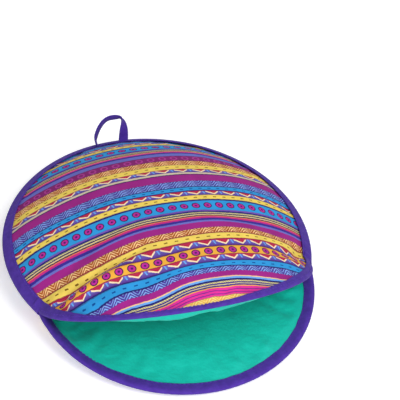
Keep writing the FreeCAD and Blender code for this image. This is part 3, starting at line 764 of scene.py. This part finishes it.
lower_net = round_panel(bowl, KNOTS, CUT_TO, lower_shaping)
reach_mark, turn_mark, slack = (
    lower_net.verts.layers.float[name] for name in ("reach", "turn", "slack"))
for knot in lower_net.verts:
    knot[slack] = lining_puckers(knot[reach_mark], knot[turn_mark])
for knot, move in zip(lower_net.verts, settled(lower_net, lining_spare, 0.10, 0.0, FURTHEST)):
    past_binding = (1 - knot[reach_mark]) * LOWER_HALF - 11.5
    knot[slack] += move.dot(knot.normal) * held(past_binding / 5)
lower_cover = finished("lower_printed_cover", layer_of(
    lower_net, lambda r, t, s: squeezed(-0.8, r), lambda r, t, s: 0.0),
    cover_finish, 1)
lower_padding = finished("lower_padding", layer_of(
    lower_net, lambda r, t, s: -squeezed(0.9 + loft(r, t) + max(s, DEEPEST), r),
    lambda r, t, s: -squeezed(0.9, r)), padding_finish)
lower_lining = finished("lower_teal_lining", layer_of(
    lower_net, lambda r, t, s: -squeezed(1.8 + loft(r, t) + max(s, DEEPEST), r),
    lambda r, t, s: -squeezed(1.1 + loft(r, t) + max(s, DEEPEST), r)),
    lining_finish, 1)

# ------------------------------------------------------------------ bindings and their stitches

# stretches of the rim, by their turns
BACK = (-CORNER_TURN - 0.01, math.pi + CORNER_TURN + 0.01)
MOUTH = (-math.pi + CORNER_TURN, -CORNER_TURN)
UPPER_MOUTH = (MOUTH[0] - 0.05, MOUTH[1] + 0.05)      # its tape laps over the rear one
LIP_FACE = 4.2              # width of the upper lip's tape on the print, where it is least


def lip_width(turn):
    """Width of the upper lip's tape on the print: it turns under along the lip, not at its ends."""
    aside = upper_edge(turn).x / (RIM * math.cos(CORNER_TURN))
    return LIP_FACE + (TAPE_FACE - LIP_FACE) * min(1.0, aside ** 1.3 if aside > 0 else aside ** 4)


def rim_width(turn):
    """Width of the rear tape on the print, which it covers further on the right."""
    return TAPE_FACE + 2.5 * max(0.0, math.cos(turn)) ** 2 * held(1.5 + 2 * math.sin(turn))


rear_binding = finished(
    "rear_tape", bound_edge(BACK, (crown, TAPE), (bowl, -TAPE), 260, width=rim_width),
    binding_finish, 1, 1.0)
upper_lip_binding = finished(
    "upper_lip_tape",
    bound_edge(UPPER_MOUTH, (crown, TAPE), (crown, -PRESSED - TAPE), 180, 1.4, lip_width),
    binding_finish, 1, 1.0)
lower_lip_binding = finished(
    "lower_lip_tape", bound_edge(MOUTH, (bowl, PRESSED + TAPE), (bowl, -TAPE), 180),
    binding_finish, 1, 1.0)

SEAM, LIP_SEAM = 9.4, 4.0   # the stitches' distance in from the edge, less on the upper lip
PROUD = TAPE + 0.1          # their height over the cloth under the tape
rear_stitches = finished(
    "rear_stitches", stitch_rows([(crown, PROUD, SEAM, BACK), (bowl, -PROUD, SEAM, BACK)]),
    thread_finish)
upper_lip_stitches = finished(
    "upper_lip_stitches", stitch_rows([
        (crown, PROUD, LIP_SEAM, MOUTH), (crown, -PRESSED - PROUD, SEAM, MOUTH)]),
    thread_finish)
lower_lip_stitches = finished(
    "lower_lip_stitches", stitch_rows([
        (bowl, PRESSED + PROUD, SEAM, MOUTH), (bowl, -PROUD, SEAM, MOUTH)]),
    thread_finish)

# ------------------------------------------------------------------ hanging loop

LOOP_WIDTH, LOOP_CLOTH, LOOP_LENGTH, LOOP_GIRTH = 9.6, 1.6, 80, 22
LOOP_SEAT = Vector((-6.0, RIM - 4.8, 43.6))
LOOP_LEAN = Matrix.Rotation(math.radians(-30), 4, "X")
# middle line of the tape from its left foot: aside and up in the loop's plane (mm), and its twist
LOOP_LINE = [Vector(spot) for spot in (
    (-15.0, -6.2, -14), (-15.9, -1.8, -18), (-15.4, 2.3, -30), (-14.0, 6.1, -34),
    (-10.9, 11.4, -36), (-6.4, 16.2, -36), (-1.3, 18.9, -34), (4.9, 19.3, -32), (10.3, 18.3, -18),
    (12.6, 15.8, 22), (13.6, 11.5, 48), (13.3, 5.6, 72), (12.4, -0.3, 86), (11.5, -6.0, 92))]


def loop_place(a, b):
    """Twisted tape arch: nearly edge-on at its left foot, lying flat at its right.

    Its middle line is a smooth curve through LOOP_LINE, and b goes round its section."""
    last = len(LOOP_LINE) - 1
    number = min(int(a * last), last - 1)
    share = a * last - number
    before, start, end, after = (LOOP_LINE[max(0, min(last, number + k))] for k in (-1, 0, 1, 2))
    bend, curl = 2 * before - 5 * start + 4 * end - after, 3 * start - before - 3 * end + after
    spot = start + ((end - before) * share + bend * share ** 2 + curl * share ** 3) / 2
    way = end - before + 2 * bend * share + 3 * curl * share ** 2
    along = Vector((way.x, 0, way.y)).normalized()
    across = Matrix.Rotation(math.radians(spot.z), 3, along) @ Vector((0, 1, 0))
    beside = along.cross(across)
    angle = 2 * math.pi * b
    wide = LOOP_WIDTH / 2 * math.copysign(abs(math.cos(angle)) ** 0.35, math.cos(angle))
    deep = LOOP_CLOTH / 2 * math.copysign(abs(math.sin(angle)) ** 0.6, math.sin(angle))
    return LOOP_LEAN @ (Vector((spot.x, 0, spot.y)) + across * wide + beside * deep) + LOOP_SEAT


loop_net = shaped_net(78, 16, loop_place)
lay_map(loop_net, lambda a, b: (LOOP_LENGTH * a, LOOP_GIRTH * b))
bmesh.ops.remove_doubles(loop_net, verts=loop_net.verts[:], dist=0.01)
bmesh.ops.holes_fill(loop_net, edges=[e for e in loop_net.edges if e.is_boundary], sides=0)
bmesh.ops.recalc_face_normals(loop_net, faces=loop_net.faces[:])
hanging_loop = finished("hanging_tape", loop_net, loop_finish, 1)

# ------------------------------------------------------------------ what each piece rides on

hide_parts("upper_cover_rear", "upper_cover_fold", "upper_cover_front")
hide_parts("upper_batting_rear", "upper_batting_fold", "upper_batting_front")
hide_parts("upper_lining_rear", "upper_lining_fold", "upper_lining_front")
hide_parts("lower_cover")
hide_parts("lower_batting")
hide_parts("lower_lining")
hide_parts("rear_binding")
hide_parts("upper_lip_binding", "corner_binding_left", "corner_binding_right")
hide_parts("lower_lip_binding")
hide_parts("hanging_loop", "hanging_loop_feet")

for item in (lower_cover, lower_padding, lower_lining, rear_binding, rear_stitches,
             lower_lip_binding, lower_lip_stitches):
    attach(item, "pouch")
for item in (upper_cover, upper_padding, upper_lining, upper_lip_binding, upper_lip_stitches):
    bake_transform(item, "pouch", "flap", start=(0, -0.036, 0), end=(0, -0.098, 0))
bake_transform(hanging_loop, "pouch", "loop", start=(0, 0.136, 0.044), end=(0, 0.138, 0.049))

# ------------------------------------------------------------------ floor, light, camera

# white card: matt, its faint grain just felt. It glows to the camera, painted light: fully away from the
# middle, so that it meets the white backdrop, and weakly near it, which paints its shadow paler but still
# keeps it.
white, white_tree = new_finish("white_card")
where = add(white_tree, "TexCoord").node.outputs[3]
grain = add(white_tree, "TexNoise", Vector=where, Scale=900.0)
relief = add(white_tree, "Bump", Strength=0.05, Distance=0.0001, Height=grain)
distance = add(white_tree, "VectorMath", where, operation="LENGTH").node.outputs[1]
# painted light: the glow rises from 0.32 near the middle, paling the shadow there, to 1 far away
glow = add(white_tree, "MapRange", distance, 0.3, 1.5, 0.32, 1.0, interpolation_type="SMOOTHSTEP")
glow = add(white_tree, "Math", add(white_tree, "LightPath"), glow, operation="MULTIPLY")
card = add(white_tree, "BsdfPrincipled", Base_Color=tint("#FFFFFF"), Roughness=0.9,
           Specular_IOR_Level=0.0, Normal=relief,
           Emission_Color=(1, 1, 1, 1), Emission_Strength=glow)
close_finish(white_tree, card)
floor_net = bmesh.new()
bmesh.ops.create_grid(floor_net, x_segments=8, y_segments=8, size=4000)
bmesh.ops.translate(floor_net, vec=(0, 0, -0.2), verts=floor_net.verts[:])
floor = finished("floor", floor_net, white)

# white backdrop; it gives less light than it shows
world = bpy.data.worlds.new("studio")
bpy.context.scene.world = world
world.use_nodes = True
sky = world.node_tree
sky.nodes.clear()
ray = add(sky, "LightPath").node.outputs
seen = add(sky, "Math", ray["Is Camera Ray"], ray["Is Glossy Ray"], operation="MAXIMUM")
seen = add(sky, "Math", seen, ray["Is Transmission Ray"], operation="MAXIMUM")
strength = add(sky, "MapRange", seen, 0.0, 1.0, 0.42, 1.0)
backdrop = add(sky, "Background", (1, 1, 1, 1), strength)
sky.links.new(backdrop, sky.nodes.new("ShaderNodeOutputWorld").inputs["Surface"])


def lamp(name, place, aim, size, power):
    """Round softbox, placed and sized in metres."""
    light = bpy.data.lights.new(name, "AREA")
    light.shape, light.size, light.energy = "DISK", size, power
    item = bpy.data.objects.new(name, light)
    item.location = place
    item.rotation_euler = (Vector(aim) - Vector(place)).to_track_quat("-Z", "Y").to_euler()
    bpy.context.scene.collection.objects.link(item)


lamp("key_softbox", (0.35, -0.8, 1.25), (0, 0, 0.03), 0.9, 8.6)
lamp("back_softbox", (0.7, 0.7, 1.2), (0, 0, 0.03), 0.9, 4.4)
lamp("mouth_softbox", (-0.35, -1.2, 0.42), (0, 0, 0.03), 0.8, 10.0)

camera = bpy.data.cameras.new("camera")
camera.sensor_width, camera.lens = 36.0, 129.835
eye = bpy.data.objects.new("camera", camera)
azimuth, elevation, roll = math.radians(22.598), math.radians(39.422), math.radians(5.757)
back = Vector((-math.sin(azimuth) * math.cos(elevation), -math.cos(azimuth) * math.cos(elevation),
               math.sin(elevation)))
right = Vector((math.cos(azimuth), -math.sin(azimuth), 0))
up = back.cross(right)
ASIDE, ABOVE, AWAY = 34.312, 60.33, 1343.857     # of the part's origin
place = (ASIDE * right + ABOVE * up + AWAY * back) * MM
side = right * math.cos(roll) + up * math.sin(roll)
top = up * math.cos(roll) - right * math.sin(roll)
eye.matrix_world = Matrix.Translation(place) @ Matrix((side, top, back)).transposed().to_4x4()
bpy.context.scene.collection.objects.link(eye)
bpy.context.scene.camera = eye
bpy.context.scene.view_settings.view_transform = "Standard"
